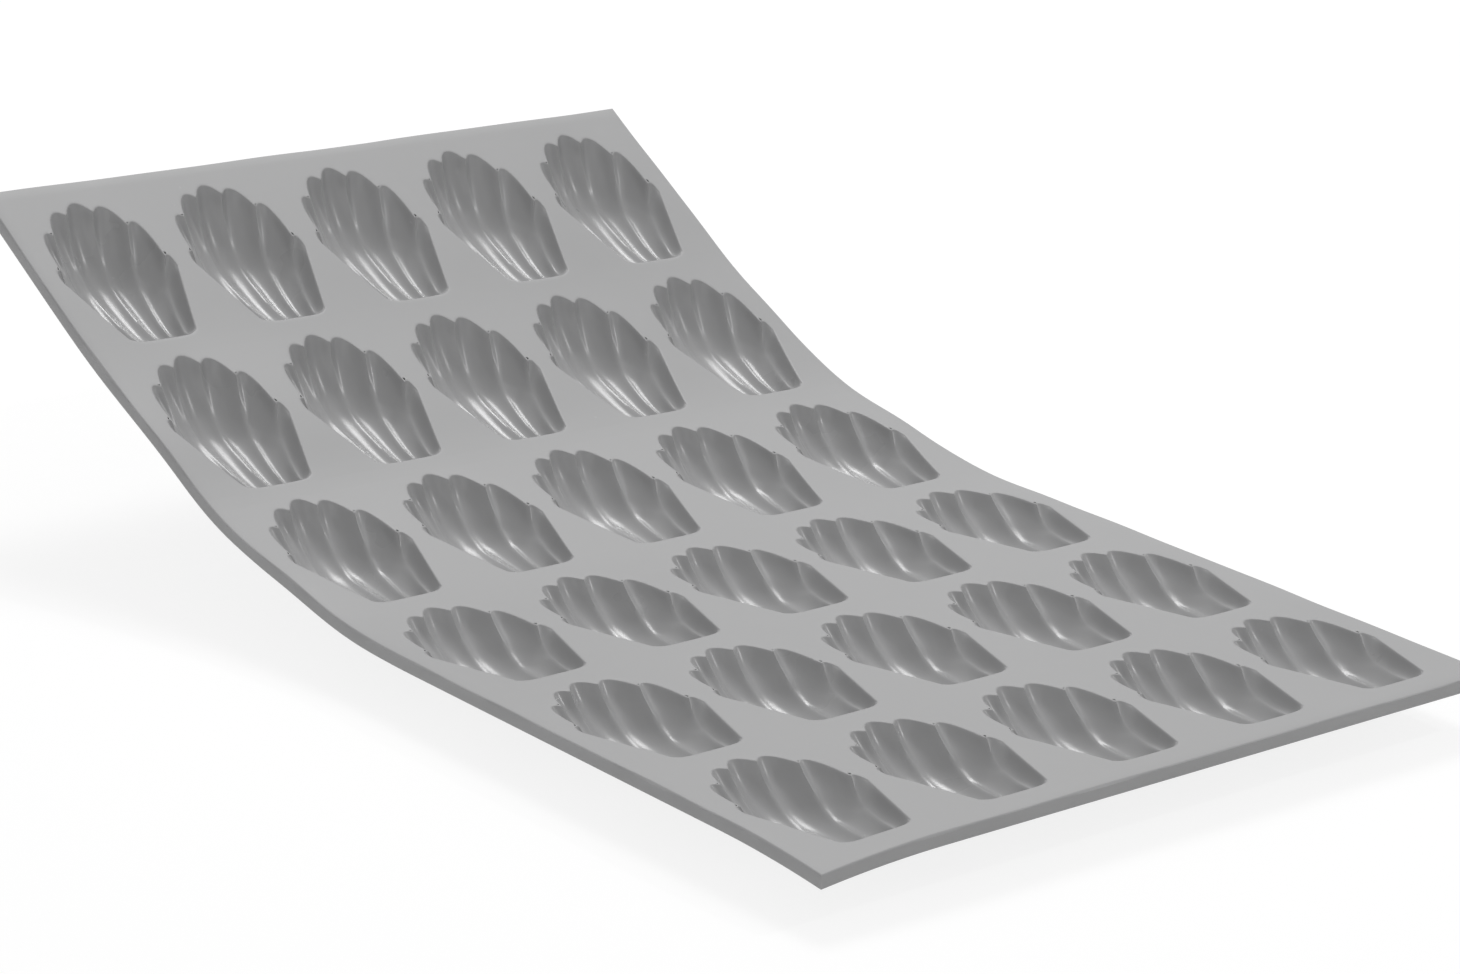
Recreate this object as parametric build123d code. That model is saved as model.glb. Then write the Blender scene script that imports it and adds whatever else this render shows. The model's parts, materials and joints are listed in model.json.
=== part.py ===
from build123d import *
import os
from math import cos, radians, sin

# A flexible baking mould for small shell cakes: one silicone sheet with thirty
# fluted cups, bent like a slide. The sheet is cut into rigid rows of cups and
# the thin webs between them, because that is where the moulding flexes.
# X runs across the mould, Y towards its raised end and Z up. The cups of the
# flat rows stand on Z = 0. All sizes are in millimetres.

# The sheet
row_count = 6
column_count = 5
sheet_thickness = 3.0
row_gap = 5.4
column_gap = 4.6
end_margin = 6.3
side_margin = 4.8
# the flat strip of a row between its cups and the web beside it
web_land = 0.7
# how far each web is bent, in degrees, from the raised end to the near end
web_bend_angles = [6, 14.5, 10.5, 0, 0]

# One cup: a fan of seven flutes that narrows to a straight end
cavity_length = 43.4
cavity_width = 29.6
cavity_depth = 10.3
rim_band = 0.5
cup_wall = 1.6
cup_floor = 1.6
# one overrun above the deck serves every cut
overrun = 12

# The ridges between the flutes, from the middle one outwards; the last is the
# side of the cavity. A foot is a ridge's place on the narrow end and a cusp its
# place on the rim of the fan, as shares of the half width and of the length.
foot_shares = [0.135, 0.31, 0.446, 0.58]
cusp_shares = [(0.233, 0.929), (0.649, 0.804), (0.905, 0.562), (1, 0.493)]
# the sections of a flute, as shares of the way from foot to cusp
station_shares = [-0.05, 0.14, 0.42, 0.68, 0.86, 1.22]
# how deep the ridges and the valleys lie at the four inner sections
ridge_depth_shares = [
    (0.72, 0.825, 0.835, 0.55),
    (0.64, 0.815, 0.785, 0.43),
    (0.38, 0.485, 0.555, 0.45),
]
valley_depth_shares = [
    (0.83, 0.965, 1, 0.78),
    (0.79, 0.94, 0.945, 0.68),
    (0.62, 0.785, 0.815, 0.65),
    (0.37, 0.44, 0.475, 0.4),
]
# where a valley comes up through the deck, as a share of the way to the cusps
lobe_shares = [1.077, 1.08, 1.17, 1.05]
# each hollow arc of a flute is this many flats
flats_per_arc = 3

# The outside of a cup, level by level: how deep it lies and how wide it is
cup_level_shares = [(0, 1), (0.5, 0.84), (0.85, 0.62), (1, 0.42)]
# the corners of that outline on one side, as shares of its half width and half
# length, and the point of its length that every level narrows towards
cup_corner_shares = [(0.25, 1), (0.6, 0.84), (0.86, 0.6), (1, 0.25), (1, -0.1), (0.66, -0.9), (0.5, -1)]
cup_centre_share = -0.14
# how much of the slab's thickness a cup wall runs up into
cup_root_share = 0.5

half_width = cavity_width / 2
half_length = cavity_length / 2
row_pitch = cavity_length + row_gap
column_pitch = cavity_width + column_gap
web_length = row_gap - 2 * web_land
sheet_width = (column_count - 1) * column_pitch + cavity_width + 2 * side_margin
cup_height = cavity_depth + cup_floor


def blend_depth(shares):
    """The depths at the six sections, so that the rim lies at the shares 0 and crossing."""
    inner_shares, crossing = shares
    inner = [cavity_depth * share for share in inner_shares]
    start, foot, *_, shoulder, end = station_shares
    first = inner[0] * start / foot
    last = inner[-1] * (crossing - end) / (crossing - shoulder)
    return [first, *inner, last]


def ridge_points(number):
    """The points of one ridge, from the narrow end to beyond the rim of the fan."""
    foot_x = half_width * foot_shares[number]
    cusp_x = half_width * cusp_shares[number][0]
    rise = cavity_length * cusp_shares[number][1]
    if number < len(ridge_depth_shares):
        depths = blend_depth((ridge_depth_shares[number], 1))
    else:
        band_share = rim_band / cavity_depth
        depths = blend_depth(([band_share] * (len(station_shares) - 2), 1))
    return [
        Vector(foot_x + share * (cusp_x - foot_x), share * rise - half_length, -depth)
        for share, depth in zip(station_shares, depths)
    ]


def mirrored(points):
    return [Vector(-point.X, point.Y, point.Z) for point in points]


def arc_points(one, other, depth):
    """A hollow arc in flats, from one ridge down to a valley and up to the other ridge."""
    middle = (one + other) / 2
    control = Vector(middle.X, middle.Y, -depth) * 2 - middle
    shares = [number / flats_per_arc for number in range(flats_per_arc + 1)]
    return [
        one * (1 - share) ** 2 + control * (2 * share * (1 - share)) + other * share**2
        for share in shares
    ]


def flat_face(*points):
    return Face(Wire.make_polygon(points))


def split_cell(one, two, three, four):
    """The two flats of a cell with these corners in order, across its shorter diagonal."""
    if (three - one).length <= (four - two).length:
        return [flat_face(one, two, three), flat_face(one, three, four)]
    return [flat_face(one, two, four), flat_face(two, three, four)]


def over(points):
    """The same points, straight above and clear of the deck."""
    return [Vector(point.X, point.Y, overrun) for point in points]


def cavity():
    """The hollow of one cup as a solid: seven flutes of hollow arcs, open to the sky."""
    right_half = [ridge_points(number) for number in range(len(foot_shares))]
    ridges = [mirrored(ridge) for ridge in reversed(right_half)] + right_half
    half_valleys = [blend_depth(pair) for pair in zip(valley_depth_shares, lobe_shares)]
    valleys = half_valleys[:0:-1] + half_valleys
    faces = []
    for left, right, valley in zip(ridges, ridges[1:], valleys):
        arcs = [arc_points(*section) for section in zip(left, right, valley)]
        for near, far in zip(arcs, arcs[1:]):
            for flat in range(flats_per_arc):
                faces += split_cell(near[flat], near[flat + 1], far[flat + 1], far[flat])
        faces += [flat_face(*arc, *over([arc[-1], arc[0]])) for arc in (arcs[0], arcs[-1])]
    for side in (ridges[0], ridges[-1]):
        faces.append(flat_face(*side, *over(side[::-1])))
    narrow, fan = [ridge[0] for ridge in ridges], [ridge[-1] for ridge in ridges]
    faces.append(flat_face(*over([*narrow, *ridges[-1][1:-1], *fan[::-1], *ridges[0][-2:0:-1]])))
    return Solid(Shell(faces))


def cup_body():
    """The outside of one cup, from inside the slab down to its flat foot."""
    half_reach = half_length - rim_band
    side_reach = half_width + cup_wall - rim_band
    centre = Vector(0, half_reach * cup_centre_share, 0)
    corners = [Vector(side_reach * x, half_reach * y, 0) for x, y in cup_corner_shares]
    outline = [corner - centre for corner in corners + mirrored(corners)[::-1]]
    root = Vector(0, 0, sheet_thickness * (1 - cup_root_share))
    levels = [[centre + corner - root for corner in outline]]
    for depth_share, width_share in cup_level_shares:
        drop = Vector(0, 0, sheet_thickness + (cup_height - sheet_thickness) * depth_share)
        levels.append([centre + corner * width_share - drop for corner in outline])
    faces = [flat_face(*levels[0]), flat_face(*levels[-1])]
    for upper, lower in zip(levels, levels[1:]):
        for one in range(len(outline)):
            faces.append(flat_face(upper[one - 1], upper[one], lower[one], lower[one - 1]))
    return Solid(Shell(faces))


def slab(near, far):
    """A flat piece of the sheet, with its deck on Z = 0, between two distances along it."""
    piece = Box(sheet_width, near + far, sheet_thickness, align=(Align.CENTER, Align.MIN, Align.MAX))
    return piece.moved(Location((0, -near, 0)))


def cup_row(near, far):
    """One row: its piece of the sheet, the cups under it and the fluted hollows."""
    first = -(column_count - 1) * column_pitch / 2
    places = [Location((first + column * column_pitch, 0, 0)) for column in range(column_count)]
    solid = slab(near, far).fuse(*[cup.moved(place) for place in places])
    return solid.cut(*[hollow.moved(place) for place in places])


def flex_web(bend):
    """The web between two rows, bent upwards, with its near end at Y = 0 and its deck on Z = 0 there."""
    if bend == 0:
        return slab(0, web_length)
    radius = web_length / radians(bend)
    centre = radius - sheet_thickness / 2
    inner, outer = radius - sheet_thickness / 2, radius + sheet_thickness / 2

    def on_arc(reach, turn):
        return Vector(0, reach * sin(radians(turn)), centre - reach * cos(radians(turn)))

    ends = [on_arc(inner, 0), on_arc(inner, bend), on_arc(outer, bend), on_arc(outer, 0)]
    outline = Wire(
        [
            ThreePointArc(ends[0], on_arc(inner, bend / 2), ends[1]).edge(),
            Line(ends[1], ends[2]).edge(),
            ThreePointArc(ends[2], on_arc(outer, bend / 2), ends[3]).edge(),
            Line(ends[3], ends[0]).edge(),
        ]
    )
    face = Face(outline).moved(Location((-sheet_width / 2, 0, 0)))
    return extrude(face, amount=sheet_width, dir=(1, 0, 0))


hollow = cavity()
cup = cup_body()
middle_half = (row_pitch - web_length) / 2
end_half = half_length + end_margin

# The rows and webs are laid end to end, from the near end to the raised one
here = Location((0, 0, cup_height))
pieces, hinges = {}, {}
for row in range(row_count, 0, -1):
    near = end_half if row == row_count else middle_half
    far = end_half if row == 1 else middle_half
    centre = here * Location((0, near, 0))
    pieces[f"cup_row_{row}"] = cup_row(near, far).moved(centre)
    here = centre * Location((0, far, 0))
    if row > 1:
        bend = web_bend_angles[row - 2]
        radius = web_length / radians(bend) if bend else 0
        pieces[f"flex_web_{row - 1}_{row}"] = flex_web(bend).moved(here)
        # where the middle planes of the two rows cross
        reach = radius * sin(radians(bend) / 2) / cos(radians(bend) / 2) if bend else web_length / 2
        hinges[f"bend_{row - 1}_{row}"] = here * Location((0, reach, -sheet_thickness / 2))
        here = hinges[f"bend_{row - 1}_{row}"] * Location((0, 0, 0), (bend, 0, 0))
        here = here * Location((0, reach, sheet_thickness / 2))

# The origin is under the middle of the whole mould
boxes = [piece.bounding_box() for piece in pieces.values()]
near_end, raised_end = min(box.min.Y for box in boxes), max(box.max.Y for box in boxes)
home = Location((0, -(near_end + raised_end) / 2, 0))
os.makedirs("parts", exist_ok=True)
for name, piece in pieces.items():
    export_step(piece.moved(home), f"parts/{name}.step")
for name, hinge in hinges.items():
    place = (home * hinge).position
    print(name, "hinge at", round(place.Y, 4), round(place.Z, 4))
print("length on the table", raised_end - near_end, "height", max(box.max.Z for box in boxes))
print("slope of the raised end", sum(web_bend_angles))
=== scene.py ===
import json
import math

import bpy
import numpy as np
from mathutils import Matrix, Vector
from mathutils.geometry import delaunay_2d_cdt


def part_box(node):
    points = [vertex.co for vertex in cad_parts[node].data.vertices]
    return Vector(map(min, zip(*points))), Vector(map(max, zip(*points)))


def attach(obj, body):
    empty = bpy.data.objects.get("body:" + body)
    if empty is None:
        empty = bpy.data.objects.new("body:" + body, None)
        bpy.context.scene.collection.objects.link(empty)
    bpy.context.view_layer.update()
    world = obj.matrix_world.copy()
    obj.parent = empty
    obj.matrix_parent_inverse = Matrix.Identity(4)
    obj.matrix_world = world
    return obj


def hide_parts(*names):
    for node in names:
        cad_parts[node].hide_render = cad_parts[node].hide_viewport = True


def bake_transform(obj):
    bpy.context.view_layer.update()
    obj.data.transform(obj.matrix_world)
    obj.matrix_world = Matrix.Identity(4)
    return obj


# A flexible baking mould: one silicone sheet with fluted cups, bent like a slide.
# Lengths are in metres. The flat sheet has x across, s along it from its near
# end and n up from its deck, and placed() bends it onto the frame.

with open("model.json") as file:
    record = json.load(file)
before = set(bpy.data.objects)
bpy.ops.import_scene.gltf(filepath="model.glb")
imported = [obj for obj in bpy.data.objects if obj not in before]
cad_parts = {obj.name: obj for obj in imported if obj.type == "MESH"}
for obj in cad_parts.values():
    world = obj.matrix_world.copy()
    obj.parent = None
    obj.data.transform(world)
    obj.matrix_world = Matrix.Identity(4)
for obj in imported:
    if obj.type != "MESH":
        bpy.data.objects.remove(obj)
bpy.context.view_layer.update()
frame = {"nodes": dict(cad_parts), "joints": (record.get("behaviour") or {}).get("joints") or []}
mm = 0.001
tiny = 1e-9
rowCount, columnCount = 6, 5

sheet = {
    "bendSpread": 30 * mm,  # how much of the sheet takes part in each web's bend
    "sideMargin": 4.8 * mm,  # from the sheet's sides to the outer hollows
    "deckFacing": 0.5,  # how far up a row's face has to look to be taken for its deck
    "twist": (0, 0, 0, -0.9, -2.3, -2.0),  # degrees at each row, near end first
    "sag": (0, 0, 0, 0, 0.4, 0.9),  # degrees that each row lies flatter than in the frame
    "droop": 1.6 * mm,  # how far the near left corner hangs down
    "droopReach": 30 * mm,
    "lineOverrun": 10 * mm,  # the bent line is worked out past both ends
    "lineSteps": 3001,
    "creaseAngle": 36,  # degrees: faces that meet at more than this keep their crease
}


def readFrame():
    # everything that the frame says about the sheet
    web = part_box(f"flex_web_{rowCount - 1}_{rowCount}")
    joints = {j["name"]: Vector(j["pos_m"]) for j in frame["joints"]}
    hinges = [joints[f"bend_{row}_{row + 1}"] for row in range(rowCount - 1, 0, -1)]
    slopes = []
    for row in range(rowCount, 0, -1):
        mesh = frame["nodes"][f"cup_row_{row}"].data
        upward = [face for face in mesh.polygons if face.normal.z > sheet["deckFacing"]]
        deck = max(upward, key=lambda face: face.area)
        sag = math.radians(sheet["sag"][rowCount - row])
        slopes.append(math.atan2(-deck.normal.y, deck.normal.z) - sag)
    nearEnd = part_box(f"cup_row_{rowCount}")[0].y
    pitch = hinges[1].y - hinges[0].y  # the near rows lie flat
    return {
        "halfWidth": (web[1].x - web[0].x) / 2,
        "thickness": web[1].z - web[0].z,
        "webLength": web[1].y - web[0].y,
        "deckHeight": web[1].z,
        "nearEnd": nearEnd,
        "pitch": pitch,
        "firstRow": hinges[0].y - nearEnd - pitch / 2,
        "slopes": slopes,
    }


base = readFrame()
rowPlaces = [base["firstRow"] + row * base["pitch"] for row in range(rowCount)]
webPlaces = [place + base["pitch"] / 2 for place in rowPlaces[:-1]]
sheetLength = rowPlaces[-1] + base["firstRow"]
print("frame read: sheet", round(sheetLength, 4), "x", round(2 * base["halfWidth"], 4))


def smoothStep(value):
    value = np.clip(value, 0, 1)
    return value * value * (3 - 2 * value)


def slopeAt(s):
    angle = np.full_like(s, base["slopes"][0])
    for place, before, after in zip(webPlaces, base["slopes"], base["slopes"][1:]):
        angle += (after - before) * smoothStep((s - place) / sheet["bendSpread"] + 0.5)
    return angle


def twistAt(s):
    twists = np.radians(sheet["twist"])
    turn = np.full_like(s, twists[0])
    for place, before, after in zip(rowPlaces, twists, twists[1:]):
        turn += (after - before) * smoothStep((s - place) / base["pitch"])
    return turn


def bentLine():
    # where the sheet's middle plane runs: y and z at even steps of s
    overrun = sheet["lineOverrun"]
    steps = np.linspace(-overrun, sheetLength + overrun, sheet["lineSteps"])
    slopes = slopeAt(steps)
    length = steps[1] - steps[0]
    y = np.cumsum(np.cos(slopes)) * length
    z = np.cumsum(np.sin(slopes)) * length
    y += base["nearEnd"] - np.interp(0, steps, y)
    z += base["deckHeight"] - base["thickness"] / 2 - np.interp(0, steps, z)
    return steps, y, z


lineSteps, lineY, lineZ = bentLine()


def placed(points):
    # bends points of the flat sheet (x, s, n) to where the mould lies
    x, s, n = points[:, 0], points[:, 1], points[:, 2]
    slope = slopeAt(s)
    rise = n + base["thickness"] / 2 + x * np.tan(twistAt(s))
    corner = np.hypot(x + base["halfWidth"], s) / sheet["droopReach"]
    rise -= sheet["droop"] * np.clip(1 - corner, 0, 1) ** 2
    y = np.interp(s, lineSteps, lineY) - rise * np.sin(slope)
    z = np.interp(s, lineSteps, lineZ) + rise * np.cos(slope)
    return np.stack([x, y, z], axis=1)


cavity = {
    "length": 43.4 * mm,
    "width": 29.6 * mm,
    "depth": 10.3 * mm,
    # where each ridge starts on the narrow end, and its cusp on the fan's rim,
    # as shares of the half width and of the length, from the middle outwards;
    # the outermost pair is the hollow's straight side
    "footShares": (0.135, 0.31, 0.446, 0.58),
    "cuspShares": ((0.233, 0.912), (0.643, 0.787), (0.893, 0.55), (0.99, 0.486)),
    "lobeShares": (0.092, 0.104, 0.168, 0.07),  # how far each lobe goes past its cusps
    "lobePower": 3,  # how late a flute spreads into its lobe
    # (way from foot to cusp, depth) along the three ridges on each side
    "ridgeShares": (
        ((0, 0), (0.05, 0.25), (0.11, 0.49), (0.19, 0.62), (0.41, 0.79), (0.62, 0.87), (0.75, 0.77),
         (0.86, 0.53), (0.95, 0.24), (1, 0)),
        ((0, 0), (0.05, 0.23), (0.11, 0.42), (0.21, 0.54), (0.5, 0.67), (0.63, 0.68), (0.74, 0.58),
         (0.85, 0.36), (0.94, 0.16), (1, 0)),
        ((0, 0), (0.06, 0.14), (0.14, 0.24), (0.27, 0.3), (0.5, 0.37), (0.72, 0.38), (0.84, 0.31),
         (0.93, 0.17), (1, 0)),
    ),
    # the same along the middle valley and the three beside it, up to their lobes
    "valleyShares": (
        ((0, 0), (0.05, 0.36), (0.11, 0.66), (0.19, 0.82), (0.4, 0.95), (0.62, 1), (0.76, 0.87),
         (0.87, 0.62), (0.95, 0.33), (1, 0)),
        ((0, 0), (0.05, 0.35), (0.11, 0.62), (0.19, 0.76), (0.4, 0.88), (0.6, 0.92), (0.74, 0.8),
         (0.86, 0.55), (0.95, 0.29), (1, 0)),
        ((0, 0), (0.05, 0.27), (0.11, 0.48), (0.19, 0.58), (0.4, 0.66), (0.6, 0.69), (0.74, 0.6),
         (0.86, 0.41), (0.95, 0.21), (1, 0)),
        ((0, 0), (0.06, 0.15), (0.14, 0.24), (0.3, 0.28), (0.5, 0.31), (0.7, 0.3), (0.84, 0.24),
         (0.93, 0.14), (1, 0)),
    ),
    "relief": 0.6,  # how deep the flutes are cut against what the shares say
    "endInset": 0.5 * mm,  # of the narrow end, at its middle
    "cornerRound": 1.5 * mm,  # how much more it is at the narrow end's corners
    "cornerPower": 6,
    "rimRadius": 0.45 * mm,  # where the hollow meets the deck
    "rimDropShare": 0.55,  # how deep the hollow's own border lies, in rim radii
    # (distance outwards, height) of the rim's rings, in rim radii
    "rimRings": ((0.22, -0.22), (0.55, -0.06), (1, 0)),
    "acrossFlute": 14,  # faces across each flute
    "along": 34,  # faces from the narrow end to the fan
    "crowding": 0.6,  # how far those faces crowd towards both ends
}
columnPitch = (2 * base["halfWidth"] - cavity["width"] - 2 * sheet["sideMargin"]) / (columnCount - 1)


def eased(shares):
    # a smooth curve through (way, depth) shares that never overshoots them
    ways, values = np.array(shares, float).T
    steps = np.diff(ways)
    rates = np.diff(values) / steps
    turns = np.zeros_like(ways)
    turns[-1] = rates[-1]
    for i in range(1, len(ways) - 1):
        if rates[i - 1] * rates[i] > 0:
            before, after = 2 * steps[i] + steps[i - 1], steps[i] + 2 * steps[i - 1]
            turns[i] = (before + after) / (before / rates[i - 1] + after / rates[i])

    def curve(way):
        spot = np.clip(np.searchsorted(ways, way, side="right") - 1, 0, len(steps) - 1)
        t = (way - ways[spot]) / steps[spot]
        start = values[spot] * (1 + 2 * t) * (1 - t) ** 2 + steps[spot] * turns[spot] * t * (1 - t) ** 2
        end = values[spot + 1] * t * t * (3 - 2 * t) - steps[spot] * turns[spot + 1] * t * t * (1 - t)
        return start + end

    return curve


def ridgeLines():
    # every ridge from left to right: its foot, its cusp and the depth along it
    halfWidth, length = cavity["width"] / 2, cavity["length"]
    feet = [share * halfWidth for share in cavity["footShares"]]
    cusps = [(x * halfWidth, y * length) for x, y in cavity["cuspShares"]]
    depths = [eased(shares) for shares in cavity["ridgeShares"]] + [np.zeros_like]
    right = list(zip(feet, cusps, depths))
    left = [(-foot, (-cusp[0], cusp[1]), depth) for foot, cusp, depth in reversed(right)]
    return left + right


def hollowGrid():
    # the fluted hollow as a grid of points: one column per step across the
    # seven flutes and one row per step from the narrow end to the fan
    length, depth = cavity["length"], cavity["depth"]
    rimDrop = cavity["rimDropShare"] * cavity["rimRadius"]
    crowding = cavity["crowding"]
    even = np.linspace(0, 1, cavity["along"] + 1)
    way = (1 - crowding) * even + crowding * (0.5 - 0.5 * np.cos(math.pi * even))
    across = np.linspace(-1, 1, cavity["acrossFlute"] + 1)
    lines = ridgeLines()
    valleys = [eased(shares)(way) for shares in cavity["valleyShares"]]
    numbers = [*range(len(valleys) - 1, 0, -1), *range(len(valleys))]
    columns = []
    for number, (footA, cuspA, ridgeA), (footB, cuspB, ridgeB) in zip(numbers, lines, lines[1:]):
        depthA, depthB = ridgeA(way), ridgeB(way)
        bulge = (valleys[number] - (depthA + depthB) / 2) * cavity["relief"]
        for u, arch in zip(across, 1 - across**2):
            if columns and u == across[0]:
                continue  # the flute before ends in the same column
            t = (u + 1) / 2
            foot = footA + (footB - footA) * t
            cusp = [cuspA[i] + (cuspB[i] - cuspA[i]) * t for i in (0, 1)]
            reach = way * (1 + cavity["lobeShares"][number] * arch * way ** cavity["lobePower"])
            x = foot + (cusp[0] - foot) * reach
            corner = abs(foot / lines[-1][0]) ** cavity["cornerPower"]
            inset = cavity["endInset"] + cavity["cornerRound"] * corner
            y = cusp[1] * reach - length / 2 + inset * (1 - way)
            level = depthA + (depthB - depthA) * t
            z = -rimDrop - (level + bulge * arch) * (depth - rimDrop)
            columns.append(np.stack([x, y, z], axis=1))
    grid = np.array(columns)
    # the ridges and cusps round over a little
    grid[1:-1] = (grid[:-2] + 2 * grid[1:-1] + grid[2:]) / 4
    return grid


hollow = hollowGrid()
print("hollow", hollow.shape, "deepest", round(float(-hollow[..., 2].min() / mm), 2), "mm")

cup = {
    "wall": 1 * mm,  # beside the hollow
    "floor": 1.6 * mm,  # below it
    "cell": 0.4 * mm,  # of the grid on which the outside is worked out
    "gridMargin": 4 * mm,  # how far that grid goes past the hollow
    "softPasses": 3,
    "fullness": 1.02,  # makes up for what the softening takes away
    "middle": -2.5 * mm,  # where the foot's middle lies along the sheet
    "landGap": 0.15 * mm,  # from the widest ring to the row's cuts
    "leastDepth": 0.3 * mm,  # below the sheet's underside, where the cup begins
    "directions": 72,
    "farthest": 30 * mm,  # the cup's border is looked for up to here
    "searchSteps": 1200,
    # (distance outside the cup, drop below the underside) of the rings at its root
    "rootRings": ((0.9 * mm, 0), (0.45 * mm, 0.04 * mm), (0.15 * mm, 0.16 * mm)),
    # the rings below them, as shares of the way from the foot's middle
    "ringShares": (0.985, 0.96, 0.93, 0.89, 0.84, 0.78, 0.71, 0.63, 0.54, 0.44, 0.33, 0.22, 0.11),
}


def cupOutside():
    # how deep the cup's outside lies: the hollow grown by the wall sideways and
    # by the floor downwards, softened, and cut flat where the mould stands
    cell, wall = cup["cell"], cup["wall"]
    reachX, reachY = cavity["width"] / 2 + cup["gridMargin"], cavity["length"] / 2 + cup["gridMargin"]
    xs = np.arange(-reachX, reachX + cell, cell)
    ys = np.arange(-reachY, reachY + cell, cell)
    depth = np.zeros((len(xs), len(ys)))
    points = hollow.reshape(-1, 3)
    spots = np.stack([(points[:, 0] - xs[0]) / cell, (points[:, 1] - ys[0]) / cell], axis=1)
    nearest = np.round(spots).astype(int)
    around = int(wall / cell) + 1
    for i in range(-around, around + 1):
        for j in range(-around, around + 1):
            place = nearest + (i, j)
            gap = np.linalg.norm((place - spots) * cell, axis=1)
            lift = cup["floor"] * np.sqrt(np.clip(1 - (gap / wall) ** 2, 0, None))
            value = np.where(gap < wall, -points[:, 2] + lift, 0)
            np.maximum.at(depth, (place[:, 0], place[:, 1]), value)
    for _ in range(cup["softPasses"]):
        for axis in (0, 1):
            depth = (np.roll(depth, 1, axis) + np.roll(depth, -1, axis) + 2 * depth) / 4
    return xs, ys, np.minimum(depth * cup["fullness"], base["deckHeight"])


outsideX, outsideY, outsideDepth = cupOutside()


def outsideAt(x, y):
    # the outside's depth anywhere, from the four points of the grid around it
    lastX, lastY = len(outsideX) - 1, len(outsideY) - 1
    i = np.clip((x - outsideX[0]) / (outsideX[1] - outsideX[0]), 0, lastX)
    j = np.clip((y - outsideY[0]) / (outsideY[1] - outsideY[0]), 0, lastY)
    i0, j0 = np.minimum(i.astype(int), lastX - 1), np.minimum(j.astype(int), lastY - 1)
    fi, fj = i - i0, j - j0
    low = outsideDepth[i0, j0] * (1 - fj) + outsideDepth[i0, j0 + 1] * fj
    high = outsideDepth[i0 + 1, j0] * (1 - fj) + outsideDepth[i0 + 1, j0 + 1] * fj
    return low * (1 - fi) + high * fi


def atLevel(points, n):
    return np.column_stack([points, np.full(len(points), n)])


def cupRings():
    # rings of points from the sheet's underside down the cup to its foot
    middle = np.array([0, cup["middle"]])
    least = base["thickness"] + cup["leastDepth"]
    landEnd = (base["pitch"] - base["webLength"]) / 2 - cup["landGap"]
    angles = np.linspace(0, 2 * math.pi, cup["directions"], endpoint=False)
    outward = np.stack([np.cos(angles), np.sin(angles)], axis=1)
    radii = np.linspace(0, cup["farthest"], cup["searchSteps"])
    border = []
    for way in outward:
        depth = outsideAt(middle[0] + radii * way[0], middle[1] + radii * way[1])
        border.append(radii[np.nonzero(depth > least)[0][-1]])
    border = np.array(border)
    border = (np.roll(border, 1) + 2 * border + np.roll(border, -1)) / 4
    rings = []
    for extra, drop in cup["rootRings"]:
        ring = middle + outward * (border + extra)[:, None]
        ring[:, 1] = np.clip(ring[:, 1], -landEnd, landEnd)
        rings.append(atLevel(ring, -base["thickness"] - drop))
    for share in cup["ringShares"]:
        ring = middle + outward * (border * share)[:, None]
        depth = np.maximum(outsideAt(ring[:, 0], ring[:, 1]), least)
        rings.append(np.column_stack([ring, -depth]))
    tip = np.array([[*middle, -float(outsideAt(middle[:1], middle[1:])[0])]])
    return rings, tip


cupOuterRings, cupTip = cupRings()
print("cup", len(cupOuterRings), "rings, foot", round(float(cupTip[0, 2] / mm), 2), "mm")


class Shell:
    # gathers the points and faces of one closed piece of the flat sheet
    def __init__(self):
        self.points, self.faces, self.count = [], [], 0
        self.glossy = []  # runs of faces with the hollows' finish

    def add(self, points):
        # takes points in and gives their numbers
        start = self.count
        self.points.append(np.asarray(points, float))
        self.count += len(points)
        return list(range(start, self.count))

    def places(self, numbers):
        return np.concatenate(self.points)[list(numbers)]

    def band(self, upper, lower, flip=False):
        # quads between two closed loops of point numbers
        size = len(upper)
        for i in range(size):
            j = (i + 1) % size
            face = (upper[i], upper[j], lower[j], lower[i])
            self.faces.append(face[::-1] if flip else face)

    def strip(self, numbers):
        # quads over a grid of point numbers
        rows, columns = numbers.shape
        for i in range(rows - 1):
            for j in range(columns - 1):
                face = (numbers[i, j], numbers[i + 1, j], numbers[i + 1, j + 1], numbers[i, j + 1])
                self.faces.append(face)


def rimPath(grid):
    # the grid's border, anticlockwise from the left end of the narrow side
    across, along = grid.shape[:2]
    path = [(i, 0) for i in range(across)]
    path += [(across - 1, j) for j in range(1, along)]
    path += [(i, along - 1) for i in range(across - 2, -1, -1)]
    path += [(0, j) for j in range(along - 2, 0, -1)]
    return path


def offsetLoop(points, distance):
    # moves a closed anticlockwise loop outwards by a distance
    leastSquare = 0.35  # of the mean normal, so that no sharp corner shoots out
    before, after = np.roll(points, 1, axis=0), np.roll(points, -1, axis=0)
    normals = []
    for side in (points - before, after - points):
        size = np.maximum(np.linalg.norm(side, axis=1), tiny)
        normals.append(np.stack([side[:, 1] / size, -side[:, 0] / size], axis=1))
    mean = (normals[0] + normals[1]) / 2
    square = np.maximum((mean**2).sum(axis=1), leastSquare)
    return points + mean / square[:, None] * distance


def loopInside(points, polygon):
    # which points lie inside a closed polygon
    inside = np.zeros(len(points), bool)
    x, y = points[:, 0], points[:, 1]
    for (x0, y0), (x1, y1) in zip(polygon, np.roll(polygon, -1, axis=0)):
        crosses = (y0 > y) != (y1 > y)
        if y0 == y1:
            continue
        inside ^= crosses & (x < (x1 - x0) * (y - y0) / (y1 - y0) + x0)
    return inside


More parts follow.
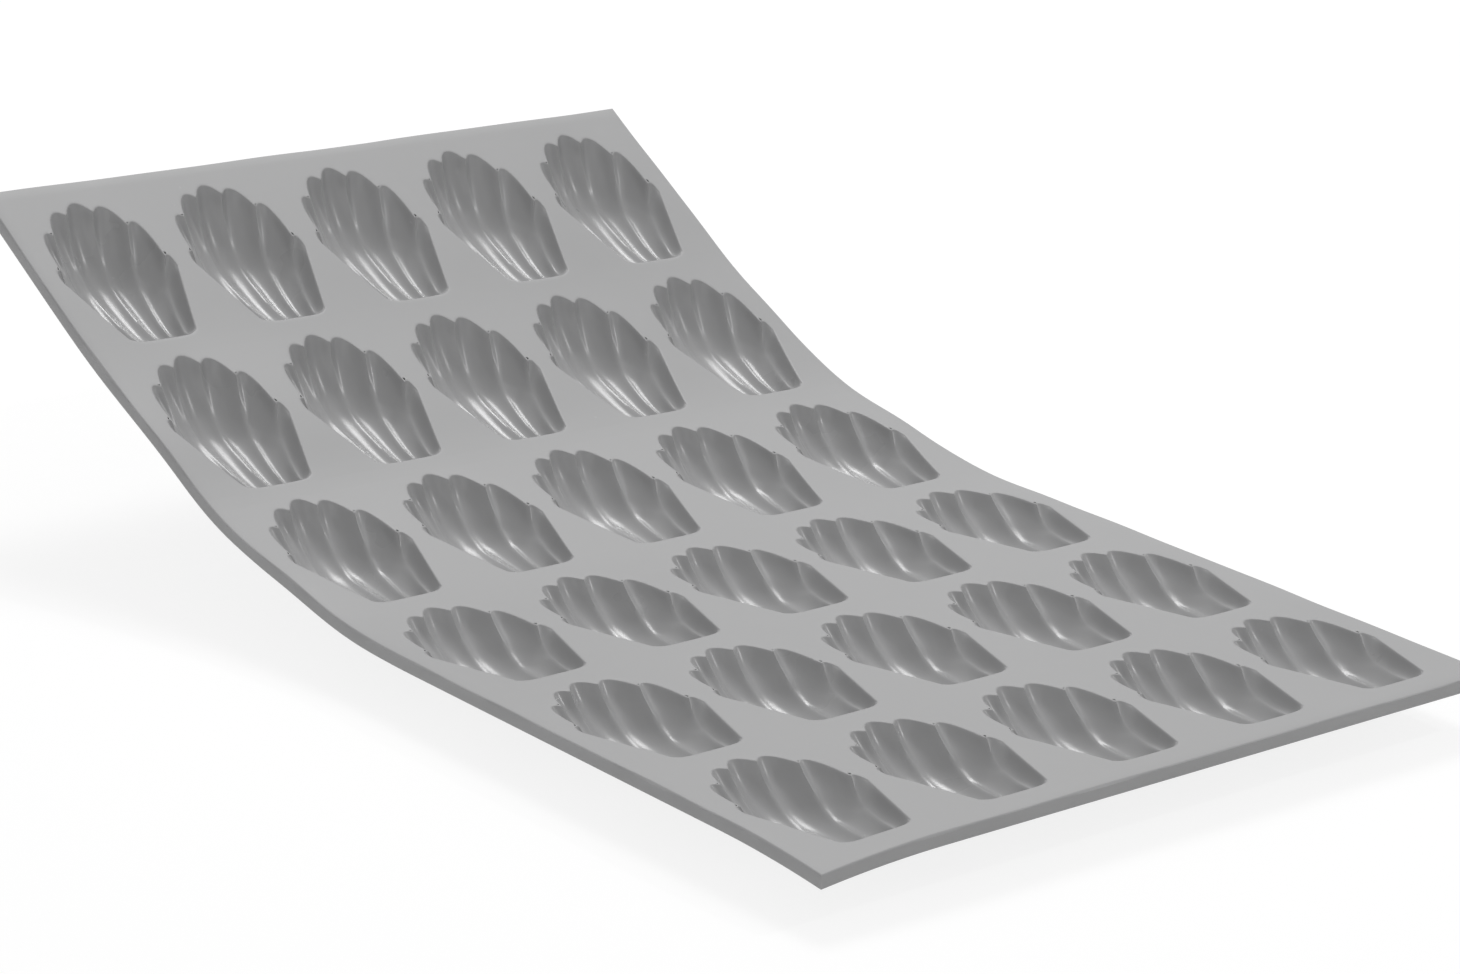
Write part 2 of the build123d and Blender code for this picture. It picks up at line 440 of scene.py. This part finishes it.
deckPoints = {
    "gap": 2.6 * mm,  # close enough together to follow the bend
    "fewest": 4,  # along the shortest side
    "ringGap": 0.5 * mm,  # from a hole to the ring of points around it
    "clearGap": 1.1 * mm,  # from a hole to the even points
    "borderGap": 0.3 * mm,  # from the outer loop to any of them
}


def evenPlaces(low, high):
    return np.linspace(low, high, max(deckPoints["fewest"], int((high - low) / deckPoints["gap"]) + 1))


def freePoints(outline, holes):
    # the deck's own points: a ring around each hole and an even grid elsewhere
    low, high = outline.min(axis=0), outline.max(axis=0)
    xs = np.linspace(low[0], high[0], int((high[0] - low[0]) / deckPoints["gap"]))[1:-1]
    ys = evenPlaces(low[1], high[1])[1:-1]
    grid = np.stack(np.meshgrid(xs, ys, indexing="ij"), axis=-1).reshape(-1, 2)
    keep = np.ones(len(grid), bool)
    rings = []
    for hole in holes:
        rings.append(offsetLoop(hole, deckPoints["ringGap"])[::2])
        keep &= ~loopInside(grid, offsetLoop(hole, deckPoints["clearGap"]))
    free = np.concatenate([*rings, grid[keep]])
    gap = deckPoints["borderGap"]
    return free[((free > low + gap) & (free < high - gap)).all(axis=1)]


def fillDeck(shell, outerLoop, holeLoops, level, upwards):
    # triangles between the outer loop and the holes
    loops = [outerLoop] + holeLoops
    outlines = [shell.places(loop)[:, :2] for loop in loops]
    free = freePoints(outlines[0], outlines[1:])
    numbers = [n for loop in loops for n in loop] + shell.add(atLevel(free, level))
    edges, start = [], 0
    for loop in loops:
        edges += [(start + i, start + (i + 1) % len(loop)) for i in range(len(loop))]
        start += len(loop)
    everything = [Vector(p) for p in np.concatenate([*outlines, free])]
    wholeHull = 0  # the kind of filling: what lies in the holes is left out below
    found = delaunay_2d_cdt(everything, edges, [], wholeHull, tiny, True)
    vertices, triangles, origins = found[0], found[2], found[3]
    spots = np.array([tuple(v) for v in vertices])
    centres = np.array([spots[list(t)].mean(axis=0) for t in triangles])
    drop = ~loopInside(centres, outlines[0])
    for hole in outlines[1:]:
        drop |= loopInside(centres, hole)
    lookup = [numbers[min(origin)] if origin else None for origin in origins]
    for triangle, dropped in zip(triangles, drop):
        corners = [lookup[i] for i in triangle]
        if dropped or None in corners or len(set(corners)) < 3:
            continue
        a, b, c = (spots[i] for i in triangle)
        turn = (b[0] - a[0]) * (c[1] - a[1]) - (b[1] - a[1]) * (c[0] - a[0])
        if (turn > 0) != upwards:
            corners.reverse()
        shell.faces.append(tuple(corners))


edge = {
    "radius": 0.45 * mm,
    "turns": (0, 30, 60, 90),  # degrees at the loops round each arris
    "unevenness": 0.1 * mm,
    "unevenLoops": 3,  # the upper arris wanders, the rest of the edge is straight
    # each wave's length in millimetres, share of the unevenness and start
    "waves": ((6.3, 1, 0), (3.9, 0.6, 2), (17, 0.9, 0)),
    "waveSlant": 0.7,
}


def wave(x, s):
    # how far the upper arris stands out at a place of the border
    along = (s + edge["waveSlant"] * x) / mm
    total = 0
    for length, share, start in edge["waves"]:
        total = total + share * np.sin(along / length + start)
    return edge["unevenness"] * total


def borderLoop(start, end, nearOpen, farOpen):
    # the border of a piece of sheet, anticlockwise, with the way outwards; a
    # border that joins another piece has no way outwards along the sheet
    radius = edge["radius"]
    side = base["halfWidth"] - radius
    low = start + (radius if nearOpen else 0)
    high = end - (radius if farOpen else 0)
    xs, ys = evenPlaces(-side, side), evenPlaces(low, high)
    points = [(x, low) for x in xs] + [(side, y) for y in ys[1:]]
    points += [(x, high) for x in xs[-2::-1]] + [(-side, y) for y in ys[-2:0:-1]]
    points = np.array(points)
    ways = np.zeros_like(points)
    ways[points[:, 0] >= side - tiny, 0] = 1
    ways[points[:, 0] <= -side + tiny, 0] = -1
    if nearOpen:
        ways[points[:, 1] <= low + tiny, 1] = -1
    if farOpen:
        ways[points[:, 1] >= high - tiny, 1] = 1
    return points, ways


def addEdge(shell, start, end, nearOpen, farOpen):
    # loops from the deck's border round the edge to the underside's
    points, ways = borderLoop(start, end, nearOpen, farOpen)
    radius, thickness = edge["radius"], base["thickness"]
    turns = [math.radians(turn) for turn in edge["turns"]]
    arris = [(radius * math.sin(turn), radius * (1 - math.cos(turn))) for turn in turns]
    levels = [(out, -drop) for out, drop in arris] + [(out, drop - thickness) for out, drop in arris[::-1]]
    loops = []
    for number, (out, n) in enumerate(levels):
        shift = out + (wave(points[:, 0], points[:, 1]) if number < edge["unevenLoops"] else 0)
        loops.append(shell.add(atLevel(points + ways * np.reshape(shift, (-1, 1)), n)))
    for upper, lower in zip(loops, loops[1:]):
        shell.band(upper, lower, flip=True)
    return loops[0], loops[-1]


hollowPath = rimPath(hollow)
hollowRim = np.array([hollow[i, j, :2] for i, j in hollowPath])


def addHollow(shell, shift):
    # one hollow with its rounded rim, which gives the hole in the deck
    cells = hollow + (*shift, 0)
    numbers = np.array(shell.add(cells.reshape(-1, 3))).reshape(cells.shape[:2])
    before = len(shell.faces)
    shell.strip(numbers)
    shell.glossy.append((before, len(shell.faces)))
    inner = [numbers[i, j] for i, j in hollowPath]
    rimRadius = cavity["rimRadius"]
    for out, n in cavity["rimRings"]:
        outer = shell.add(atLevel(offsetLoop(hollowRim, out * rimRadius) + shift, n * rimRadius))
        shell.band(outer, inner)
        inner = outer
    return inner


def addCup(shell, shift):
    # the outside of one cup, which gives the hole in the underside
    loops = [shell.add(ring + (*shift, 0)) for ring in cupOuterRings]
    for upper, lower in zip(loops, loops[1:]):
        shell.band(upper, lower, flip=True)
    tip = shell.add(cupTip + (*shift, 0))[0]
    last = loops[-1]
    for here, after in zip(last, last[1:] + last[:1]):
        shell.faces.append((after, here, tip))
    return loops[0]


def sheetPiece(start, end, nearOpen=False, farOpen=False, rowPlace=None):
    # one closed piece of the flat sheet, with its hollows and cups if it is a row
    shell = Shell()
    deckBorder, underBorder = addEdge(shell, start, end, nearOpen, farOpen)
    deckHoles, underHoles = [], []
    if rowPlace is not None:
        for column in range(columnCount):
            shift = np.array([(column - (columnCount - 1) / 2) * columnPitch, rowPlace])
            deckHoles.append(addHollow(shell, shift))
            underHoles.append(addCup(shell, shift))
    fillDeck(shell, deckBorder, deckHoles, 0, True)
    fillDeck(shell, underBorder, underHoles, -base["thickness"], False)
    return shell


silicone = {
    "colour": (0.37, 0.37, 0.373, 1),
    "satin": 0.55,  # roughness of the deck and of the outside
    "gloss": 0.3,  # roughness of the hollows
    "refraction": 1.43,
    # how fine each noise is, and its detail
    "mottleNoise": (38, 4),
    "grainNoise": (2600, 2),
    "speckNoise": (420, 1),
    # which part of each noise's range counts
    "mottleSpan": (0.3, 0.7),
    "grainSpan": (0.2, 0.8),
    "speckSpan": (0.8, 0.86),
    "mottle": 0.035,  # share by which the tone wanders
    "mottleRough": 0.04,  # how far the roughness wanders with it
    "speck": 0.12,  # how much paler a speck is
    "grainHeight": 0.02 * mm,
    "grainStrength": 0.25,
}


def siliconeGroup():
    # what both finishes share: a tone that wanders, fine grain and rare pale specks
    group = bpy.data.node_groups.new("siliconeSkin", "ShaderNodeTree")
    colour, number = "NodeSocketColor", "NodeSocketFloat"
    for name, kind in (("Colour", colour), ("Roughness", number)):
        group.interface.new_socket(name, in_out="INPUT", socket_type=kind)
    for name, kind in (("Tone", colour), ("Rough", number), ("Height", number)):
        group.interface.new_socket(name, in_out="OUTPUT", socket_type=kind)
    nodes, links = group.nodes, group.links
    given, result = nodes.new("NodeGroupInput"), nodes.new("NodeGroupOutput")
    place = nodes.new("ShaderNodeTexCoord")

    def noise(name):
        node = nodes.new("ShaderNodeTexNoise")
        node.inputs["Scale"].default_value, node.inputs["Detail"].default_value = silicone[f"{name}Noise"]
        links.new(place.outputs["Object"], node.inputs["Vector"])
        return node.outputs[0]

    def ranged(source, span, start, end):
        node = nodes.new("ShaderNodeMapRange")
        values = {"From Min": span[0], "From Max": span[1], "To Min": start, "To Max": end}
        for socket, value in values.items():
            node.inputs[socket].default_value = value
        links.new(source, node.inputs["Value"])
        return node.outputs[0]

    def summed(one, other):
        node = nodes.new("ShaderNodeMath")
        links.new(one, node.inputs[0])
        links.new(other, node.inputs[1])
        return node.outputs[0]

    mottleNoise, mottle, rough = noise("mottle"), silicone["mottle"], silicone["mottleRough"]
    tone = ranged(mottleNoise, silicone["mottleSpan"], 1 - mottle, 1 + mottle)
    speck = ranged(noise("speck"), silicone["speckSpan"], 0, silicone["speck"])
    scaled = nodes.new("ShaderNodeVectorMath")
    scaled.operation = "SCALE"
    links.new(given.outputs["Colour"], scaled.inputs[0])
    links.new(summed(tone, speck), scaled.inputs["Scale"])
    links.new(scaled.outputs[0], result.inputs["Tone"])
    wander = ranged(mottleNoise, silicone["mottleSpan"], -rough, rough)
    links.new(summed(wander, given.outputs["Roughness"]), result.inputs["Rough"])
    links.new(ranged(noise("grain"), silicone["grainSpan"], 0, 1), result.inputs["Height"])
    return group


def siliconeMaterial(name, group, roughness):
    material = bpy.data.materials.new(name)
    material.use_nodes = True
    nodes, links = material.node_tree.nodes, material.node_tree.links
    shader = nodes["Principled BSDF"]
    shader.inputs["IOR"].default_value = silicone["refraction"]
    skin = nodes.new("ShaderNodeGroup")
    skin.node_tree = group
    skin.inputs["Colour"].default_value = silicone["colour"]
    skin.inputs["Roughness"].default_value = roughness
    links.new(skin.outputs["Tone"], shader.inputs["Base Color"])
    links.new(skin.outputs["Rough"], shader.inputs["Roughness"])
    bump = nodes.new("ShaderNodeBump")
    bump.inputs["Strength"].default_value = silicone["grainStrength"]
    bump.inputs["Distance"].default_value = silicone["grainHeight"]
    links.new(skin.outputs["Height"], bump.inputs["Height"])
    links.new(bump.outputs[0], shader.inputs["Normal"])
    return material


def buildPiece(name, shell, finishes):
    # the second finish is the hollows', the first that of everything else
    mesh = bpy.data.meshes.new(name)
    points = placed(np.concatenate(shell.points))
    mesh.from_pydata([tuple(p) for p in points], [], [tuple(int(i) for i in f) for f in shell.faces])
    for material in finishes:
        mesh.materials.append(material)
    for first, last in shell.glossy:
        for number in range(first, last):
            mesh.polygons[number].material_index = 1
    mesh.update()
    mesh.shade_smooth()
    mesh.set_sharp_from_angle(angle=math.radians(sheet["creaseAngle"]))
    piece = bpy.data.objects.new(name, mesh)
    bpy.context.scene.collection.objects.link(piece)
    return piece


def cutPoint(s):
    # a point of the sheet's middle plane in the frame
    return tuple(placed(np.array([[0, s, -base["thickness"] / 2]]))[0])


def buildMould():
    group = siliconeGroup()
    finishes = []
    for finish in ("satin", "gloss"):
        finishes.append(siliconeMaterial(f"{finish}Silicone", group, silicone[finish]))
    halfWeb = base["webLength"] / 2
    for number, place in enumerate(rowPlaces):
        row = rowCount - number
        first, last = number == 0, number == rowCount - 1
        start = 0 if first else webPlaces[number - 1] + halfWeb
        end = sheetLength if last else webPlaces[number] - halfWeb
        shell = sheetPiece(start, end, first, last, place)
        piece = buildPiece(f"siliconeRow{row}", shell, finishes)
        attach(piece, f"row_{row}")
        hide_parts(f"cup_row_{row}")
        print("row", row, shell.count, "points")
    for number, place in enumerate(webPlaces):
        row = rowCount - number
        start, end = place - halfWeb, place + halfWeb
        piece = buildPiece(f"siliconeWeb{row - 1}{row}", sheetPiece(start, end), finishes[:1])
        cutPoint(start)
        cutPoint(end)
        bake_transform(piece)
        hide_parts(f"flex_web_{row - 1}_{row}")
    print("webs done")


buildMould()

room = {
    "floorSize": 6,
    "floorDrop": 0.5 * mm,  # below the cups' feet
    "floorColour": (0.85, 0.85, 0.85, 1),
    "floorRoughness": 0.8,
    "floorGlow": 1.06,
    "glowShare": 0.8,  # how much of the floor's look is its glow
    "wallColour": (1, 1, 1, 1),
    "shade": 0.34,  # strength of the room's soft light, where the room itself looks 1
}


def seenMask(nodes, links):
    # 1 for what the camera sees, straight or mirrored, and 0 for other light
    path = nodes.new("ShaderNodeLightPath")
    mask = nodes.new("ShaderNodeMath")
    mask.operation = "MAXIMUM"
    links.new(path.outputs["Is Camera Ray"], mask.inputs[0])
    links.new(path.outputs["Is Glossy Ray"], mask.inputs[1])
    return mask.outputs[0]


def buildStage():
    bpy.ops.mesh.primitive_plane_add(size=room["floorSize"], location=(0, 0, -room["floorDrop"]))
    floor = bpy.context.object
    floor.name = "floor"
    material = bpy.data.materials.new("paleFloor")
    material.use_nodes = True
    nodes, links = material.node_tree.nodes, material.node_tree.links
    shader = nodes["Principled BSDF"]
    shader.inputs["Base Color"].default_value = room["floorColour"]
    shader.inputs["Roughness"].default_value = room["floorRoughness"]
    glow = nodes.new("ShaderNodeEmission")
    glow.inputs["Strength"].default_value = room["floorGlow"]
    mix = nodes.new("ShaderNodeMixShader")
    share = nodes.new("ShaderNodeMath")
    share.operation = "MULTIPLY"
    share.inputs[1].default_value = room["glowShare"]
    links.new(seenMask(nodes, links), share.inputs[0])
    links.new(share.outputs[0], mix.inputs[0])
    links.new(shader.outputs[0], mix.inputs[1])
    links.new(glow.outputs[0], mix.inputs[2])
    links.new(mix.outputs[0], nodes["Material Output"].inputs["Surface"])
    floor.data.materials.append(material)


def buildWorld():
    world = bpy.data.worlds.new("paleRoom")
    bpy.context.scene.world = world
    world.use_nodes = True
    nodes, links = world.node_tree.nodes, world.node_tree.links
    backdrop = nodes["Background"]
    backdrop.inputs["Color"].default_value = room["wallColour"]
    level = nodes.new("ShaderNodeMapRange")
    level.inputs["To Min"].default_value = room["shade"]
    level.inputs["To Max"].default_value = 1
    links.new(seenMask(nodes, links), level.inputs["Value"])
    links.new(level.outputs[0], backdrop.inputs["Strength"])


lamps = {
    # the way from the mould to the lamp, its distance, size and power
    "key": ((0.34, 0.41, 0.8), 1.4, 0.5, 10.3),
    "side": ((0.6, -0.42, 0.68), 1.3, 0.05, 2.4),
    "fill": ((-0.7, -0.5, 0.35), 1.5, 1, 2.8),
}


def buildLamps():
    for name, (way, distance, size, power) in lamps.items():
        data = bpy.data.lights.new(name, "AREA")
        data.size, data.energy = size, power
        lamp = bpy.data.objects.new(name, data)
        bpy.context.scene.collection.objects.link(lamp)
        way = Vector(way).normalized()
        lamp.location = way * distance
        lamp.rotation_euler = way.to_track_quat("Z", "Y").to_euler()


camera = {
    "place": (-0.6390, -0.7725, 0.3658),
    "azimuth": 39.937,  # degrees
    "elevation": 18.681,
    "roll": 2.113,
    "lens": 124.366,  # millimetres, like the sensor
    "sensor": 36,
}


def buildCamera():
    data = bpy.data.cameras.new("camera")
    data.lens, data.sensor_width = camera["lens"], camera["sensor"]
    eye = bpy.data.objects.new("camera", data)
    bpy.context.scene.collection.objects.link(eye)
    azimuth, elevation = math.radians(camera["azimuth"]), math.radians(camera["elevation"])
    turned = Matrix.Rotation(-azimuth, 4, "Z") @ Matrix.Rotation(math.pi / 2 - elevation, 4, "X")
    turned = turned @ Matrix.Rotation(math.radians(camera["roll"]), 4, "Z")
    eye.matrix_world = Matrix.Translation(camera["place"]) @ turned
    bpy.context.scene.camera = eye


buildStage()
buildWorld()
buildLamps()
buildCamera()
bpy.context.scene.view_settings.view_transform = "Standard"
print("stage, lamps and camera done")
